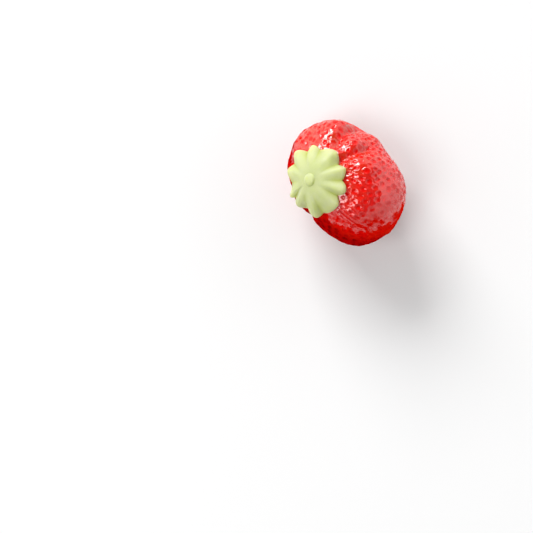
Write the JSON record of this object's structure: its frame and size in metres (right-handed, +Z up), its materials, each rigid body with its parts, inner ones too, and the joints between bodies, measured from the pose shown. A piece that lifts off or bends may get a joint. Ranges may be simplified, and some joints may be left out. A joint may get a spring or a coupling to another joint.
{
  "type": "marzipan strawberry",
  "caption": "Moulded confectionery strawberry: a squat red fruit with pitted, creased skin and a pale green leaf cap, resting on a small flat spot.",
  "frame": {"origin": "middle of the small flat spot that the fruit rests on", "axes": "+Z up; the stem end leans 41.5 degrees from +Z towards -X, and +Y is the direction that the fruit is widest in"},
  "size_m": [0.0295, 0.0318, 0.0282],
  "materials": {
    "sugar_red": "red food colour sprayed on marzipan, under a clear sugar glaze",
    "leaf_green": "plain pale green marzipan, smooth and matte"
  },
  "bodies": {
    "root": {"fruit_body": "sugar_red", "leaf_cap": "leaf_green"}
  },
  "joints": []
}
